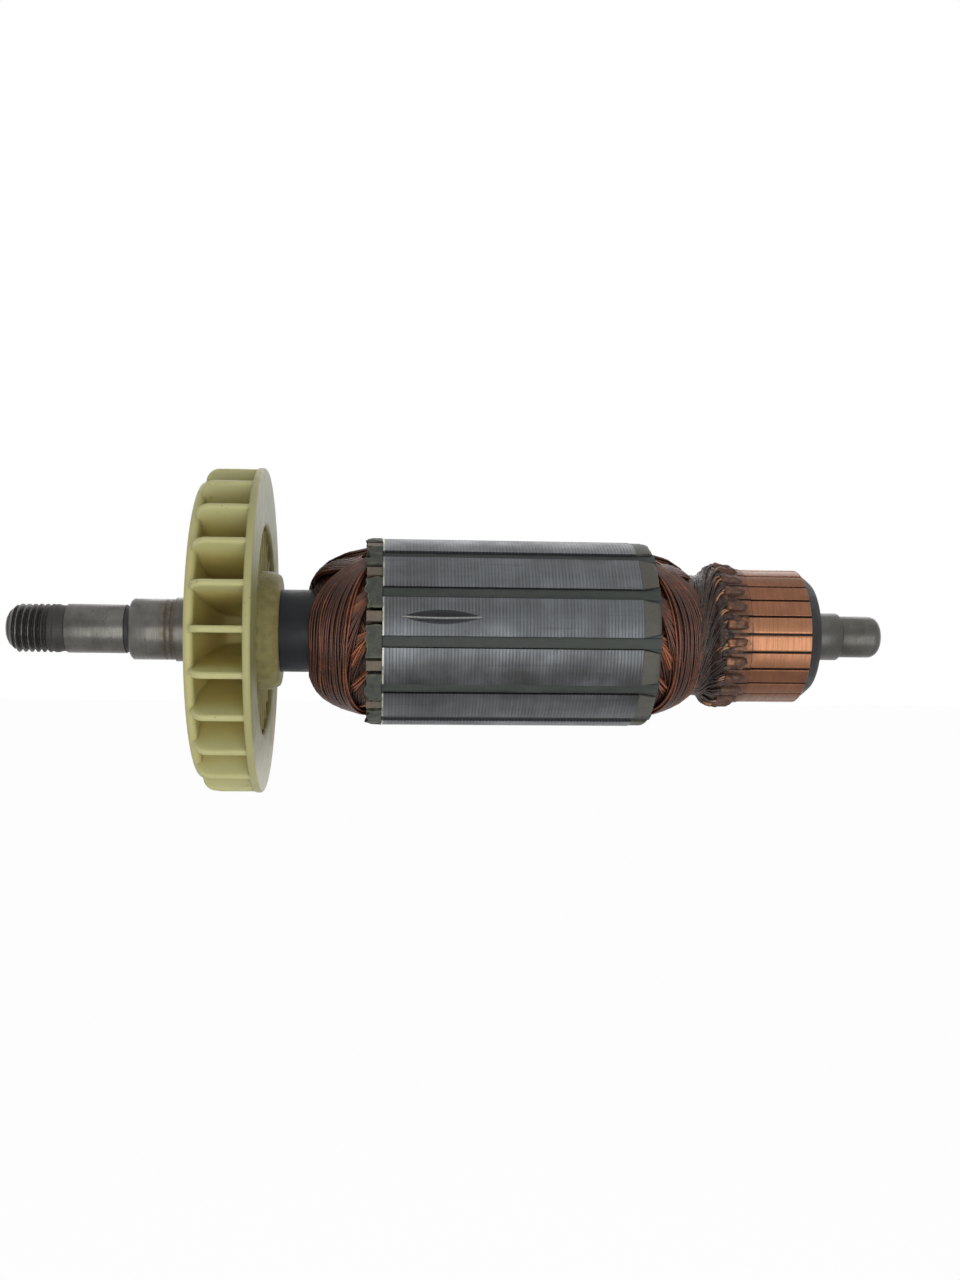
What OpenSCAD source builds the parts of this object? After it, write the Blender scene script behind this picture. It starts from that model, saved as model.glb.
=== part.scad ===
// Wound armature of a small universal motor, as fitted in a compact angle grinder.
// The shaft lies along X, with its threaded nose at -X and the commutator at +X. +Z is up.
// The origin is on the shaft's axis, in the plane of the shoulder that stops the front bearing.
// Stations along the shaft are measured from that shoulder. Angles run upwards from the -Y side.

/* [Shaft] */
// Diameter over the threaded nose
thread_d = 8; // [6:0.5:8]
// Length of the threaded nose
thread_len = 7.6; // [5:0.2:12]
// Diameter of the seat for the pinion
pinion_seat_d = 8; // [8:0.5:9]
// Length of the pinion seat, run-out and relief groove included
pinion_seat_len = 12.2; // [10:0.2:20]
// Diameter of the seat for the front bearing
front_seat_d = 10; // [10:0.1:10.3]
// Length of the front bearing's seat
front_seat_len = 7.2; // [6:0.2:9]
// Diameter of the shaft between the bearings
middle_d = 10.5; // [10.4:0.1:11]
// Diameter of the seat for the commutator, seen as a collar behind it
rear_collar_d = 8; // [7.6:0.1:9]
// Length of the collar that stays bare behind the commutator
rear_collar_len = 5.6; // [3:0.2:8]
// Diameter of the seat for the rear bearing
rear_seat_d = 7; // [5:0.5:7]
// Length of the rear end, rounded tip included
rear_seat_len = 7.1; // [6:0.1:10]

/* [Fan] */
// Outside diameter of the fan
fan_d = 53.2; // [46:0.2:60]
// How far the back plate's rim lies inside the blades' tips
fan_rim_inset = 2.3; // [1.8:0.1:2.8]
// Diameter of the air inlet in the shroud ring
fan_inlet_d = 34.6; // [30:0.2:38]
// Width of the fan from its back plate to the shroud ring's face
fan_w = 10.1; // [9.6:0.1:11]
// Number of blades
blade_count = 24; // [12:1:28]
// Thickness of a blade
blade_t = 1; // [0.8:0.05:1.4]

/* [Core] */
// Outside diameter of the laminated core
core_d = 30.8; // [30.4:0.1:31.4]
// Length of the stack of laminations
core_len = 41; // [30:0.5:60]
// Width of a slot's open mouth
slot_mouth = 1.9; // [1.6:0.1:2.2]
// Depth of the balancing groove milled across one tooth
balance_depth = 1.2; // [0.4:0.1:1.6]
// Thickness of the front end insulator, and height of the paper cuffs round it
cuff_len = 2.5; // [2:0.1:3]
// Thickness of the rear end insulator
rear_plate_t = 3; // [2.4:0.1:3.6]

/* [Winding] */
// Outside diameter of the black tube that insulates the shaft
tube_d = 13.6; // [12.6:0.1:13.8]
// Thickness of one layer of coils in the winding heads
coil_layer_t = 0.85; // [0.7:0.05:0.9]
// Thickness of the slot paper
paper_t = 0.28; // [0.2:0.02:0.34]

/* [Commutator] */
// Diameter of the turned brush track
track_d = 22.4; // [22:0.1:23]
// Length of the copper bars
bar_len = 14.4; // [12:0.2:20]
// Width of the gap between two bars
bar_gap = 0.4; // [0.35:0.05:0.8]
// Diameter over the hooks
hook_ring_d = 24.7; // [24.2:0.1:25.4]
// Width of one hook
hook_w = 1.5; // [1:0.1:1.8]

/* [Hidden] */
$fn = 96;
slot_count = 12;
bar_count = 24;
slot_pitch = 360 / slot_count;
bar_pitch = 360 / bar_count;
slot_span = 5;              // a coil spans five slots
layer_count = slot_count / 2; // coils lie in opposite pairs, one pair to a layer
first_slot = -6;            // angle of slot 1
first_bar = 8.5;            // angle of bar 1
top_coil = -21;             // middle of the coil that was wound last
balance_at = 8.8;           // angle of the milled groove

// Stations along the shaft
front_step_x = -front_seat_len;
pinion_seat_x = front_step_x - pinion_seat_len;
nose_x = pinion_seat_x - thread_len;
fan_plate_x = 4.4;
fan_face_x = fan_plate_x + fan_w;
fan_boss_x = fan_face_x + 2.5;
cuff_x = 31.1;
core_x = cuff_x + cuff_len;
core_end_x = core_x + core_len;
rear_plate_x = core_end_x + rear_plate_t;
bar_x = rear_plate_x + 11;
bar_end_x = bar_x + bar_len;
hub_end_x = bar_end_x + 2.2;
rear_step_x = hub_end_x + rear_collar_len;
tail_x = rear_step_x + rear_seat_len;

// Radii
core_r = core_d / 2;
tube_r = tube_d / 2;
track_r = track_d / 2;
hook_r = hook_ring_d / 2;
fan_r = fan_d / 2;

// Slot section: round root, flanks that leave parallel teeth, shoulders, mouth
root_r = 9.6;
root_half = 0.95;
shoulder_r = 13.45;
shoulder_half = 2.1;
neck_r = 14.25;
flank = (shoulder_half - root_half) / (shoulder_r - root_r);

// Coil sides in a slot
side_root_r = 9.15;
side_split_r = 11.1;
side_top_r = 13.1;
side_clear = paper_t + 0.08;

// Winding heads: nested spherical layers, centred on the shaft
front_head = [33.1, 14.14, cuff_x];                  // centre, outer radius, face
rear_head = [-75.6, 13.96, -rear_plate_x];           // the same, seen from the other end
toe = 0.2;                                           // reach of a coil side into its end turn

// ---- frames and helpers ----

// Local x points to the -Y side and local z along the shaft
module on_shaft() rotate([0, 90, 0]) rotate([0, 0, -90]) children();

// Turns a piece up from the -Y side by an angle
module at(angle) rotate([0, 0, -angle]) children();

// Body of revolution from [radius, station] points
module turned(profile) on_shaft() rotate_extrude() polygon(profile);

// Flat section extruded between two stations
module slab(x0, x1) on_shaft() translate([0, 0, x0]) linear_extrude(x1 - x0) children();

// Upright web: a [radius, station] outline with a thickness across it
module web(angle, thick) on_shaft() at(angle) rotate([90, 0, 0])
    linear_extrude(thick, center = true) children();

// A [width, station] outline extruded outwards between two radii
module outward(angle, r0, r1) on_shaft() at(angle) translate([r0, 0, 0]) rotate([90, 0, 90])
    linear_extrude(r1 - r0) children();

// Points of an arc in a profile
function arc(centre, r, a0, a1, steps = 8) =
    [for (i = [0:steps]) let (a = a0 + (a1 - a0) * i / steps)
        [centre[0] + r * cos(a), centre[1] + r * sin(a)]];

// Square outline from radius r0 to r1 and station x0 to x1
function box_outline(r0, r1, x0, x1) = [[r0, x0], [r1, x0], [r1, x1], [r0, x1]];

// ---- shaft ----

module shaft() color([0.55, 0.55, 0.54]) turned(concat(
    [[0, nose_x], [2.6, nose_x], [thread_d / 2 - 0.9, nose_x + 0.5], [thread_d / 2 - 0.05, nose_x + 1.9],
     [thread_d / 2 - 0.05, pinion_seat_x - 0.2], [thread_d / 2 - 0.25, pinion_seat_x],
     [thread_d / 2 - 0.25, pinion_seat_x + 1.7], [pinion_seat_d / 2, pinion_seat_x + 1.95],
     [pinion_seat_d / 2, front_step_x - 0.85], [pinion_seat_d / 2 - 0.2, front_step_x - 0.8],
     [pinion_seat_d / 2 - 0.2, front_step_x], [front_seat_d / 2 - 0.35, front_step_x],
     [front_seat_d / 2, front_step_x + 0.35]],
    relief(-1.3), relief(-0.5),
    [[front_seat_d / 2, 0], [middle_d / 2, 0],
     [middle_d / 2, bar_x], [rear_collar_d / 2, bar_x], [rear_collar_d / 2, rear_step_x - 0.2],
     [rear_collar_d / 2 - 0.2, rear_step_x], [rear_seat_d / 2, rear_step_x]],
    arc([rear_seat_d / 2 - 1.7, tail_x - 1.7], 1.7, 0, 90),
    [[0, tail_x]]));

// Fine grinding groove in the front seat
function relief(x) = let (r = front_seat_d / 2) [[r, x], [r - 0.05, x + 0.05], [r - 0.05, x + 0.25], [r, x + 0.3]];

// ---- fan ----

fan_nose_r = 2.2;   // rounding of each blade's back corner
rim_w = 1.5;        // width of the plate's rim
rim_back_r = 0.8;   // rounding of the rim behind
rim_front_r = 2.5;  // rounding that leads the air from the hub over the rim

module fan() color([0.82, 0.80, 0.58]) union() {
    fan_hub();
    fan_shroud();
    for (i = [0:blade_count - 1]) web(i * 360 / blade_count, blade_t) polygon(blade_outline());
}

// Boss and back plate: cored out behind, rounded at the rim and rising to the boss in front
module fan_hub() {
    rim_r = fan_r - fan_rim_inset;
    turned(concat(
        [[middle_d / 2, 2.8], [8.6, 2.8], [9.2, 3.4], [9.6, 6.8], [10.6, 7.2], [12.8, 7],
         [21, fan_plate_x]],
        arc([rim_r - rim_back_r, fan_plate_x + rim_back_r], rim_back_r, -90, 0, 5),
        arc([rim_r - rim_front_r, fan_plate_x + rim_w], rim_front_r, 0, 65, 6),
        [[17, 11.4], [12.5, 13.4], [9.9, 15.4], [9.2, fan_boss_x - 0.2], [9, fan_boss_x],
         [middle_d / 2, fan_boss_x]]));
}

module fan_shroud() turned([
    [fan_inlet_d / 2, fan_face_x - 1.2], [fan_r, fan_face_x - 1.2], [fan_r, fan_face_x - 0.3],
    [fan_r - 0.3, fan_face_x], [fan_inlet_d / 2 + 0.3, fan_face_x], [fan_inlet_d / 2, fan_face_x - 0.3]]);

// A blade from the hub to its tip, with its back corner rounded; in the inlet it stands up to the shroud
function blade_outline() = let (top = fan_face_x - 0.6) concat(
    [[10.4, 9], [16.5, 7.4], [20.5, 5.8], [23.4, 5.6]],
    arc([fan_r - fan_nose_r, fan_plate_x + 0.9 + fan_nose_r], fan_nose_r, -90, 0, 6),
    [[fan_r, top], [10.4, top]]);

// ---- insulation round the shaft ----

module insulation_tube() color([0.13, 0.14, 0.16]) turned(
    [[middle_d / 2, fan_boss_x], [tube_r, fan_boss_x], [tube_r, bar_x], [middle_d / 2, bar_x]]);

// ---- core ----

function slot_angle(i) = first_slot + (i - 1) * slot_pitch;

module each_slot() for (i = [1:slot_count]) at(slot_angle(i)) children();

// Half width of a slot at a radius, with its flanks moved in by an inset
function slot_half(r, inset) = root_half - inset + flank * (r - root_r);

// The slot below its shoulders, drawn along local x
module slot_body(inset, top) {
    translate([root_r, 0]) circle(r = root_half - inset);
    polygon([
        [root_r, -slot_half(root_r, inset)], [top, -slot_half(top, inset)],
        [top, slot_half(top, inset)], [root_r, slot_half(root_r, inset)]]);
}

module slot_section() {
    slot_body(0, shoulder_r);
    polygon([
        [shoulder_r - 0.01, -shoulder_half], [shoulder_r, -shoulder_half], [neck_r, -slot_mouth / 2],
        [core_r + 1, -slot_mouth / 2], [core_r + 1, slot_mouth / 2], [neck_r, slot_mouth / 2],
        [shoulder_r, shoulder_half], [shoulder_r - 0.01, shoulder_half]]);
}

module core_stack() color([0.45, 0.46, 0.47]) difference() {
    slab(core_x, core_end_x) difference() {
        circle(r = core_r);
        circle(r = tube_r);
        each_slot() slot_section();
    }
    balance_groove();
}

// Groove left by a vee-edged cutter that balanced the finished armature
module balance_groove() {
    cutter_r = 18;
    on_shaft() at(balance_at)
        translate([core_r - balance_depth + cutter_r, 0, core_x + 9.3]) rotate([90, 0, 0])
            for (side = [0, 1]) mirror([0, 0, side]) cylinder(h = 2, r1 = cutter_r, r2 = cutter_r - 2);
}

// ---- end insulators ----

// Narrow fingers between the paper cuffs
module front_end_plate() color([0.46, 0.42, 0.32]) slab(cuff_x, core_x) difference() {
    union() {
        circle(r = 8.5);
        for (i = [1:slot_count]) at(slot_angle(i) + slot_pitch / 2)
            translate([8, -finger_w / 2]) square([core_r - 0.3 - 8, finger_w]);
    }
    circle(r = tube_r);
}
finger_w = 1.65;

// Thick star washer with the laminations' outline, rounded outside and flared at the slot mouths
module rear_end_plate() color([0.34, 0.33, 0.28]) difference() {
    turned(concat(
        [[tube_r, core_end_x], [core_r - 0.1, core_end_x]],
        arc([core_r - 1.1, rear_plate_x - 1], 1, 0, 90, 6),
        [[tube_r, rear_plate_x]]));
    slab(core_end_x - 1, rear_plate_x + 1) each_slot() slot_section();
    for (i = [1:slot_count]) outward(slot_angle(i), shoulder_r + 0.4, core_r + 1)
        polygon(mouth_flare(slot_mouth / 2, 1.6));
}

// Plan of a strip that widens over the rear insulator
function mouth_flare(half0, half1) = let (x0 = core_end_x, x1 = rear_plate_x + 0.01)
    [[-half0, x0], [half0, x0], [half1, x1], [-half1, x1]];

// ---- slot insulation ----

cuff_r = core_r - 0.15;

// Outline of a cuff, spread to nearly the width between two fingers
module cuff_section(inset) {
    translate([root_r, 0]) circle(r = root_half - inset);
    intersection() {
        circle(r = cuff_r - inset);
        polygon([
            [root_r, -(root_half - inset)], [cuff_r + 1, -(2.95 - inset)],
            [cuff_r + 1, 2.95 - inset], [root_r, root_half - inset]]);
    }
}

// Paper lining of one slot, spread to a stiff cuff at the front
module slot_liner(i) color([0.34, 0.38, 0.35]) {
    cuff_gap = 0.05;
    on_shaft() at(slot_angle(i)) {
        translate([0, 0, cuff_x]) linear_extrude(cuff_len - cuff_gap) difference() {
            cuff_section(0.02);
            cuff_section(0.02 + paper_t);
        }
        translate([0, 0, core_x - cuff_gap - paper_t]) linear_extrude(paper_t) difference() {
            cuff_section(0.02);
            slot_body(0.02 + paper_t, side_top_r);
        }
        translate([0, 0, core_x - cuff_gap - paper_t]) linear_extrude(core_len + rear_plate_t + cuff_gap + paper_t)
            difference() {
                slot_body(0.02, shoulder_r - 0.02);
                slot_body(0.02 + paper_t, side_top_r);
            }
    }
}

// Strip that closes one slot's mouth and spreads over the rear insulator
module slot_wedge(i) {
    half = slot_mouth / 2 - 0.1;
    on_shaft() at(slot_angle(i)) translate([0, 0, core_x]) linear_extrude(core_len + rear_plate_t)
        polygon([
            [shoulder_r, -1.9], [neck_r - 0.1, -half], [core_r - 0.45, -half],
            [core_r - 0.45, half], [neck_r - 0.1, half], [shoulder_r, 1.9]]);
    outward(slot_angle(i), neck_r - 0.3, core_r - 0.6) polygon(mouth_flare(half, 1.5));
}

module slot_wedges() color([0.33, 0.38, 0.35]) for (i = [1:slot_count]) slot_wedge(i);

// ---- coils ----

function layer_of(i) = (i - 1) % layer_count;

// Middle of coil i: each layer is one slot on from the one below, and its pair lies opposite
function coil_angle(i) =
    top_coil - slot_pitch * (layer_count - 1 - layer_of(i)) + (i > layer_count ? 180 : 0);

// Radius of the sphere under layer k of a head
function sphere_r(head, k) = k == 0 ? head[1] - 5.94 : head[1] - (layer_count - k) * coil_layer_t;

// Radius at which layer k leaves a head's face
function face_r(head, k) = sqrt(pow(sphere_r(head, k), 2) - pow(head[0] - head[2], 2));

// Plan of a coil's end turn: broad where it passes the shaft, narrow where it enters the slots
function band_edge(angle, r_middle, r_end) =
    [for (u = [-1.11:0.185:1.12]) let (a = angle + u * slot_span * slot_pitch / 2,
        r = r_middle + (r_end - r_middle) * pow(abs(u), 2.2)) [r * cos(a), -r * sin(a)]];

function reversed(list) = [for (i = [len(list) - 1:-1:0]) list[i]];

// One end turn, lying in its own layer of a head
module end_turn(head, i) {
    k = layer_of(i);
    inner = sphere_r(head, k);
    outer = sphere_r(head, k + 1);
    on_shaft() intersection() {
        translate([0, 0, head[0]]) difference() {
            sphere(r = outer);
            sphere(r = inner);
        }
        translate([0, 0, head[2] - 20]) linear_extrude(20) polygon(concat(
            band_edge(coil_angle(i), tube_r + 0.7, inner * 0.91),
            reversed(band_edge(coil_angle(i), outer * 0.91, outer * 1.01))));
    }
}

// Run of a coil side in the slot: outline of [radius, station], from face to face.
// A side that shares its slot lies under or over the other, split by a line that swings
// at each end to where the layers of that head meet.
module coil_side(angle, k, split, upper) {
    heads = [front_head, rear_head];
    seam = 0.1;
    gap = 0.04;
    side_gap = upper ? gap : -gap;
    mouth_top = face_r(front_head, k + 1) - 0.05;
    ends = [for (head = heads) face_r(head, split) + side_gap];
    middle = side_split_r + side_gap;
    x0 = cuff_x + 0.02;
    x1 = rear_plate_x - 0.02;
    split_line = [[ends[0], x0], [ends[0], cuff_x + seam], [middle, core_x],
        [middle, core_end_x], [ends[1], rear_plate_x - seam], [ends[1], x1]];
    far_line = upper
        ? [[side_top_r, x1], [side_top_r, core_x - 0.5], [mouth_top, x0]]
        : [[side_root_r, x1], [side_root_r, x0]];
    lo = [for (head = heads) max(face_r(head, k) + gap, side_root_r)];
    hi = [for (head = heads) face_r(head, k + 1) - 0.22];
    intersection() {
        web(angle, 6) union() {
            polygon(concat(split_line, far_line));
            polygon(box_outline(lo[0], hi[0], cuff_x - toe, cuff_x + seam));
            polygon(box_outline(lo[1], hi[1], rear_plate_x, rear_plate_x + toe));
            polygon(box_outline(lo[1], min(hi[1], side_top_r), rear_plate_x - seam, rear_plate_x + toe));
        }
        slab(cuff_x - 1, rear_plate_x + 1) at(angle) polygon([
            [side_root_r, -0.4], [root_r, -slot_half(root_r, side_clear)], [15, -slot_half(15, side_clear)],
            [15, slot_half(15, side_clear)], [root_r, slot_half(root_r, side_clear)], [side_root_r, 0.4]]);
    }
}

// One coil of enamelled wire: two sides in slots and a turn round each end of the core
module coil(i) color([0.48, 0.24, 0.14]) union() {
    k = layer_of(i);
    half_span = slot_span * slot_pitch / 2;
    last = layer_count - 1;
    end_turn(front_head, i);
    mirror([1, 0, 0]) end_turn(rear_head, i);
    coil_side(coil_angle(i) + half_span, k, k == 0 ? 3 : k, k > 0);
    coil_side(coil_angle(i) - half_span, k, k == last ? 3 : k + 1, k == last);
}

// ---- commutator ----

// Varnished bundle of the coil ends, flaring from the winding head to the hooks
module lead_neck() color([0.25, 0.19, 0.16]) difference() {
    turned([
        [tube_r, rear_plate_x + 5], [10.2, rear_plate_x + 5], [10.2, bar_x - 2.4],
        [hook_r - 0.2, bar_x - 0.1], [hook_r - 0.2, bar_x], [tube_r, bar_x]]);
    on_shaft() translate([0, 0, -rear_head[0]]) sphere(r = rear_head[1]);
}

// Black moulding that carries the bars, with a rib in each gap and a rim behind the copper
module commutator_hub() color([0.09, 0.09, 0.10]) union() {
    turned([
        [rear_collar_d / 2, bar_x], [8.6, bar_x], [8.6, bar_end_x], [track_r - 0.25, bar_end_x],
        [9.9, bar_end_x + 1.4], [9.2, hub_end_x], [6.4, hub_end_x], [6, hub_end_x - 0.5],
        [rear_collar_d / 2, hub_end_x - 0.5]]);
    for (i = [1:bar_count]) web(bar_angle(i) + bar_pitch / 2, bar_gap - 0.02)
        polygon(box_outline(8.4, track_r - 0.5, bar_x, bar_end_x + 0.2));
}

function bar_angle(i) = first_bar + (i - 1) * bar_pitch;

// Copper bar with its hook folded back over the lead and pressed down
module bar(i) color([0.78, 0.50, 0.34]) union() {
    raw_r = track_r + 0.12;
    raw_end_x = bar_x + 4.6;
    intersection() {
        turned([
            [bar_root_r, bar_x], [raw_r, bar_x], [raw_r, raw_end_x], [track_r, raw_end_x],
            [track_r, bar_end_x], [bar_root_r, bar_end_x]]);
        slab(bar_x - 1, bar_end_x + 1) at(bar_angle(i)) bar_wedge(track_r + 1);
    }
    web(bar_angle(i), hook_w) hook_outline(raw_r);
}
bar_root_r = 8.6;

// Section that a bar is cut to, with flat flanks that keep the gap parallel
module bar_wedge(r) {
    apex = bar_gap / 2 / sin(bar_pitch / 2);
    half = (r - apex) * tan(bar_pitch / 2);
    polygon([[apex, 0], [r, -half], [r, half]]);
}

module hook_outline(seat_r) difference() {
    polygon(concat(
        [[seat_r - 0.3, bar_x + 0.05]],
        arc([hook_r - 0.5, bar_x + 0.55], 0.5, -90, 0, 5),
        [[hook_r, bar_x + 3.1], [hook_r - 0.75, bar_x + 4.6], [seat_r, bar_x + 4.9], [seat_r - 0.3, bar_x + 4.9]]));
    polygon([
        [seat_r + 0.02, bar_x + 0.8], [hook_r - 0.6, bar_x + 0.95],
        [hook_r - 0.6, bar_x + 2.9], [seat_r + 0.02, bar_x + 3.7]]);
}

// ---- nodes ----

shaft();
fan();
insulation_tube();
core_stack();
front_end_plate();
rear_end_plate();
for (i = [1:slot_count]) slot_liner(i);
slot_wedges();
for (i = [1:slot_count]) coil(i);
lead_neck();
commutator_hub();
for (i = [1:bar_count]) bar(i);
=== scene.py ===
import math
import random
import bpy
import numpy as np
from mathutils import Matrix, Vector, noise


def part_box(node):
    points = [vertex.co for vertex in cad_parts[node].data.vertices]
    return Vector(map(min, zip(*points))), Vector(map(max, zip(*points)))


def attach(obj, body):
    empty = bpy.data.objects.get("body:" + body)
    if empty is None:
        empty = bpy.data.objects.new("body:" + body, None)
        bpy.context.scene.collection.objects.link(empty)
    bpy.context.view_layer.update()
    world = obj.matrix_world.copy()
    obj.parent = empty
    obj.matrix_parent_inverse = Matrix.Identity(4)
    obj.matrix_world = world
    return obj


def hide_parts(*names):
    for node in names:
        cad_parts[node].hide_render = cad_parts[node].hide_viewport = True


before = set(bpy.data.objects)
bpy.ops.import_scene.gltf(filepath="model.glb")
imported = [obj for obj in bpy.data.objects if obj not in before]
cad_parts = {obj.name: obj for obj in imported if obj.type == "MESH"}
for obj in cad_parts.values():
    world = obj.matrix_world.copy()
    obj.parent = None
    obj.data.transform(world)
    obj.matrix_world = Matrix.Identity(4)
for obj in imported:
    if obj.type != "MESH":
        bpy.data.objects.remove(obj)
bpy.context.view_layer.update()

mm = 0.001


def tint(r, g, b):  # a colour as it looks on screen, 0 to 255
    def lin(c):
        c = c / 255
        return c / 12.92 if c <= 0.04045 else ((c + 0.055) / 1.055) ** 2.4
    return (lin(r), lin(g), lin(b), 1)


def span(node):  # lowest and highest corner of a solid, in mm
    low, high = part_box(node)
    return [v / mm for v in low], [v / mm for v in high]


def smooth(a, b, x):  # 0 before a, 1 after b
    s = min(max((x - a) / (b - a), 0), 1)
    return s * s * (3 - 2 * s)


slotCount = 12
slotPitch = 360 / slotCount
barCount = 24
barPitch = 360 / barCount

# stations and radii of the solids, in mm
coreStart, coreEnd = (corner[0] for corner in span("core_stack"))
coreRadius = span("core_stack")[1][2]
frontFace = span("front_end_plate")[0][0]
rearFace = span("rear_end_plate")[1][0]
tubeRadius = span("insulation_tube")[1][2]
barStart = span("commutator_hub")[0][0]
hubEnd = span("commutator_hub")[1][0]
seatRadius = 5.25  # of the shaft under the fan and the core


def addObject(name, data):
    obj = bpy.data.objects.new(name, data)
    bpy.context.collection.objects.link(obj)
    return obj


def makeMesh(name, points, faces):  # from points in mm
    mesh = bpy.data.meshes.new(name)
    mesh.from_pydata([tuple(float(c) * mm for c in p) for p in points], [], faces)
    return mesh


class Finish:  # a material and the few nodes that all finishes share

    def __init__(self, name, rough=0.5, metal=0.0, shine=0.5):
        self.mat = bpy.data.materials.new(name)
        self.mat.use_nodes = True
        self.tree = self.mat.node_tree
        self.skin = self.tree.nodes["Principled BSDF"]
        self.skin.inputs["Roughness"].default_value = rough
        self.skin.inputs["Metallic"].default_value = metal
        self.skin.inputs["Specular IOR Level"].default_value = shine
        self.place = self.add("ShaderNodeTexCoord").outputs["Object"]
        parts = self.add("ShaderNodeSeparateXYZ")
        self.link(self.place, parts.inputs[0])
        self.along, self.deep, self.up = parts.outputs

    def add(self, kind):
        return self.tree.nodes.new(kind)

    def link(self, a, b):
        self.tree.links.new(a, b)

    def feed(self, socket, value):
        if isinstance(value, bpy.types.NodeSocket):
            self.link(value, socket)
        else:
            socket.default_value = value

    def calc(self, how, a, b=0.0, c=0.0):
        node = self.add("ShaderNodeMath")
        node.operation = how
        for socket, value in zip(node.inputs, (a, b, c)):
            self.feed(socket, value)
        return node.outputs[0]

    def both(self, a, b):
        return self.calc("MULTIPLY", a, b)

    def between(self, value, low, rise, fall, high):  # 0 at low and at high, 1 from rise to fall
        return self.both(self.band(value, low, rise), self.band(value, high, fall))

    def radius(self):  # distance from the shaft's axis, in m
        squares = [self.calc("POWER", side, 2) for side in (self.deep, self.up)]
        return self.calc("SQRT", self.calc("ADD", *squares))

    def stretched(self, x, y, z):  # object position with a scale for each axis, in 1/mm
        node = self.add("ShaderNodeMapping")
        self.link(self.place, node.inputs["Vector"])
        node.inputs["Scale"].default_value = (x / mm, y / mm, z / mm)
        return node.outputs[0]

    def cloud(self, size, detail=3.0, where=None, rough=0.55):  # noise, lumps of about this size in mm
        node = self.add("ShaderNodeTexNoise")
        self.link(where or self.place, node.inputs["Vector"])
        node.inputs["Scale"].default_value = 1 if where else 1 / (size * mm)
        node.inputs["Detail"].default_value = detail
        node.inputs["Roughness"].default_value = rough
        return node.outputs["Fac"]

    def ramp(self, value, *stops):  # stops are (place, grey or colour)
        node = self.add("ShaderNodeValToRGB")
        self.feed(node.inputs[0], value)
        while len(node.color_ramp.elements) < len(stops):
            node.color_ramp.elements.new(0.5)
        for element, (place, colour) in zip(node.color_ramp.elements, stops):
            element.position = place
            element.color = colour if isinstance(colour, tuple) else (colour, colour, colour, 1)
        return node.outputs[0]

    def mottle(self, value, low, high):  # over the middle of a noise
        return self.ramp(value, (0.3, low), (0.7, high))

    def band(self, value, low, high):  # 0 at low and 1 at high
        node = self.add("ShaderNodeMapRange")
        self.feed(node.inputs["Value"], value)
        node.inputs["From Min"].default_value = low
        node.inputs["From Max"].default_value = high
        return node.outputs[0]

    def blend(self, amount, a, b):
        node = self.add("ShaderNodeMix")
        node.data_type = "RGBA"
        self.feed(node.inputs["Factor"], amount)
        self.feed(node.inputs["A"], a)
        self.feed(node.inputs["B"], b)
        return node.outputs["Result"]

    def painted(self, name):  # a value stored on the mesh
        node = self.add("ShaderNodeAttribute")
        node.attribute_name = name
        return node.outputs["Fac"]

    def relief(self, height, depth, edge=None, strength=1.0):
        node = self.add("ShaderNodeBump")
        node.inputs["Distance"].default_value = depth * mm
        node.inputs["Strength"].default_value = strength
        self.link(height, node.inputs["Height"])
        if edge:  # softens the look of sharp edges
            soft = self.add("ShaderNodeBevel")
            soft.samples = 4
            soft.inputs["Radius"].default_value = edge * mm
            self.link(soft.outputs[0], node.inputs["Normal"])
        self.link(node.outputs[0], self.skin.inputs["Normal"])

    def paint(self, colour=None, rough=None, metal=None):
        for name, value in (("Base Color", colour), ("Roughness", rough), ("Metallic", metal)):
            if value is not None:
                self.feed(self.skin.inputs[name], value)

    def gloss(self, **sockets):
        for name, value in sockets.items():
            self.skin.inputs[name.replace("_", " ")].default_value = value


def dress(node, finish):  # gives a finish to a solid that stays
    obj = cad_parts[node]
    obj.data.materials.clear()
    obj.data.materials.append(finish.mat)


def makePiece(name, points, faces, finish, slotName, nodes=(), values=None, crease=32):
    mesh = makeMesh(name, points, faces)
    mesh.validate()
    mesh.shade_smooth()
    if crease:
        mesh.set_sharp_from_angle(angle=math.radians(crease))
    for key, numbers in (values or {}).items():
        layer = mesh.attributes.new(key, "FLOAT", "POINT")
        layer.data.foreach_set("value", [float(v) for v in numbers])
    obj = addObject(name, mesh)
    mesh.materials.append(finish.mat)
    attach(obj, "root")
    if nodes:
        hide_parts(*nodes)
    return obj


def fuse(obj, points, faces, crease):  # adds closed shells to a piece as one solid
    other = addObject("shells", makeMesh("shells", points, faces))
    join = obj.modifiers.new("join", "BOOLEAN")
    join.operation = "UNION"
    join.solver = "EXACT"
    join.object = other
    whole = bpy.data.meshes.new_from_object(obj.evaluated_get(bpy.context.evaluated_depsgraph_get()))
    obj.modifiers.clear()
    material = obj.data.materials[0]
    obj.data = whole
    whole.materials.clear()
    whole.materials.append(material)
    whole.shade_smooth()
    whole.set_sharp_from_angle(angle=math.radians(crease))
    bpy.data.objects.remove(other)


def around(x, r, angle, side=0.0):  # station, radius, angle up from the -Y side, and a step sideways
    a = math.radians(angle)
    return (x, side * math.sin(a) - r * math.cos(a), r * math.sin(a) + side * math.cos(a))


def ringFaces(rings, count, closed=False, wrap=True):
    faces = []
    for i in range(rings if closed else rings - 1):
        a = i * count
        b = ((i + 1) % rings) * count
        for j in range(count if wrap else count - 1):
            k = (j + 1) % count
            faces.append((a + j, a + k, b + k, b + j))
    return faces


def arc(x, r, size, start, end, count):  # part of a circle in a turned section
    points = []
    for i in range(count + 1):
        a = math.radians(start + (end - start) * i / count)
        points.append((x + size * math.sin(a), r + size * math.cos(a)))
    return points


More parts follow.
